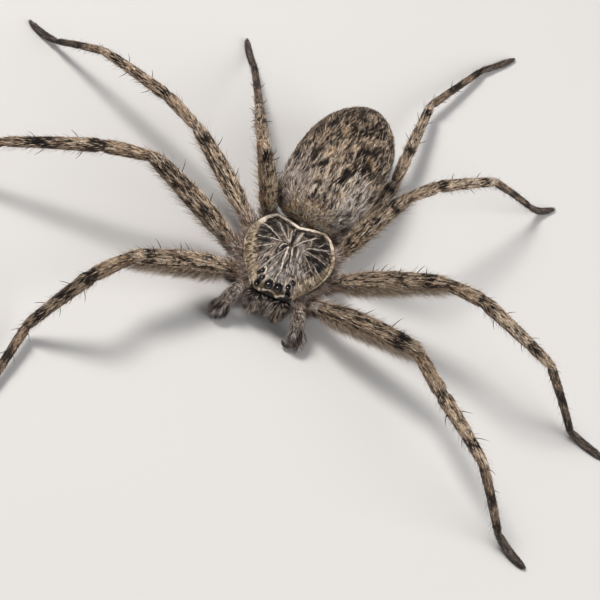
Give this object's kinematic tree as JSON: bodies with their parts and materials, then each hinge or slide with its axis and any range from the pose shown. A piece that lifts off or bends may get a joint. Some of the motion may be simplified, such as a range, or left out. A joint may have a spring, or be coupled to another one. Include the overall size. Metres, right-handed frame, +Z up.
{
  "type": "huntsman spider",
  "caption": "Life-size huntsman spider standing flat with long banded legs spread sideways and forwards, furry egg-shaped abdomen and a broad patterned head shield.",
  "frame": {"origin": "on the floor, under the middle of the box the whole animal fills", "axes": "+Z up, the head looks along -Y, the spider's left side is +X"},
  "size_m": [0.1038, 0.0938, 0.0196],
  "materials": {
    "carapace_shell": "short grey-brown down with pale rays over a dark shell",
    "eyes": "glossy black",
    "fangs": "polished dark brown",
    "abdomen_coat": "short mottled fur",
    "breastplate": "short pale brown down",
    "dark_coat": "long grey-brown hair",
    "foot_coat": "dark velvety hair",
    "leg_coat": "short tan fur with dark dashes and bands"
  },
  "bodies": {
    "root": {"carapace": "carapace_shell", "eye_anterior_median_left": "eyes", "eye_anterior_median_right": "eyes", "eye_anterior_lateral_left": "eyes", "eye_anterior_lateral_right": "eyes", "eye_posterior_median_left": "eyes", "eye_posterior_median_right": "eyes", "eye_posterior_lateral_left": "eyes", "eye_posterior_lateral_right": "eyes", "chelicera_left": "dark_coat", "fang_left": "fangs", "palp_left_base": "leg_coat", "palp_left_end": "leg_coat", "chelicera_right": "dark_coat", "fang_right": "fangs", "palp_right_base": "leg_coat", "palp_right_end": "leg_coat", "sternum": "breastplate", "pedicel": "abdomen_coat", "abdomen": "abdomen_coat", "spinnerets": "abdomen_coat", "leg1_right_coxa": "dark_coat", "leg1_right_femur": "leg_coat", "leg1_right_tibia": "leg_coat", "leg1_right_foot": "foot_coat", "leg1_left_coxa": "dark_coat", "leg1_left_femur": "leg_coat", "leg1_left_tibia": "leg_coat", "leg1_left_foot": "foot_coat", "leg2_right_coxa": "dark_coat", "leg2_right_femur": "leg_coat", "leg2_right_tibia": "leg_coat", "leg2_right_foot": "foot_coat", "leg2_left_coxa": "dark_coat", "leg2_left_femur": "leg_coat", "leg2_left_tibia": "leg_coat", "leg2_left_foot": "foot_coat", "leg3_right_coxa": "dark_coat", "leg3_right_femur": "leg_coat", "leg3_right_tibia": "leg_coat", "leg3_right_foot": "foot_coat", "leg3_left_coxa": "dark_coat", "leg3_left_femur": "leg_coat", "leg3_left_tibia": "leg_coat", "leg3_left_foot": "foot_coat", "leg4_right_coxa": "dark_coat", "leg4_right_femur": "leg_coat", "leg4_right_tibia": "leg_coat", "leg4_right_foot": "foot_coat", "leg4_left_coxa": "dark_coat", "leg4_left_femur": "leg_coat", "leg4_left_tibia": "leg_coat", "leg4_left_foot": "foot_coat"}
  },
  "joints": []
}
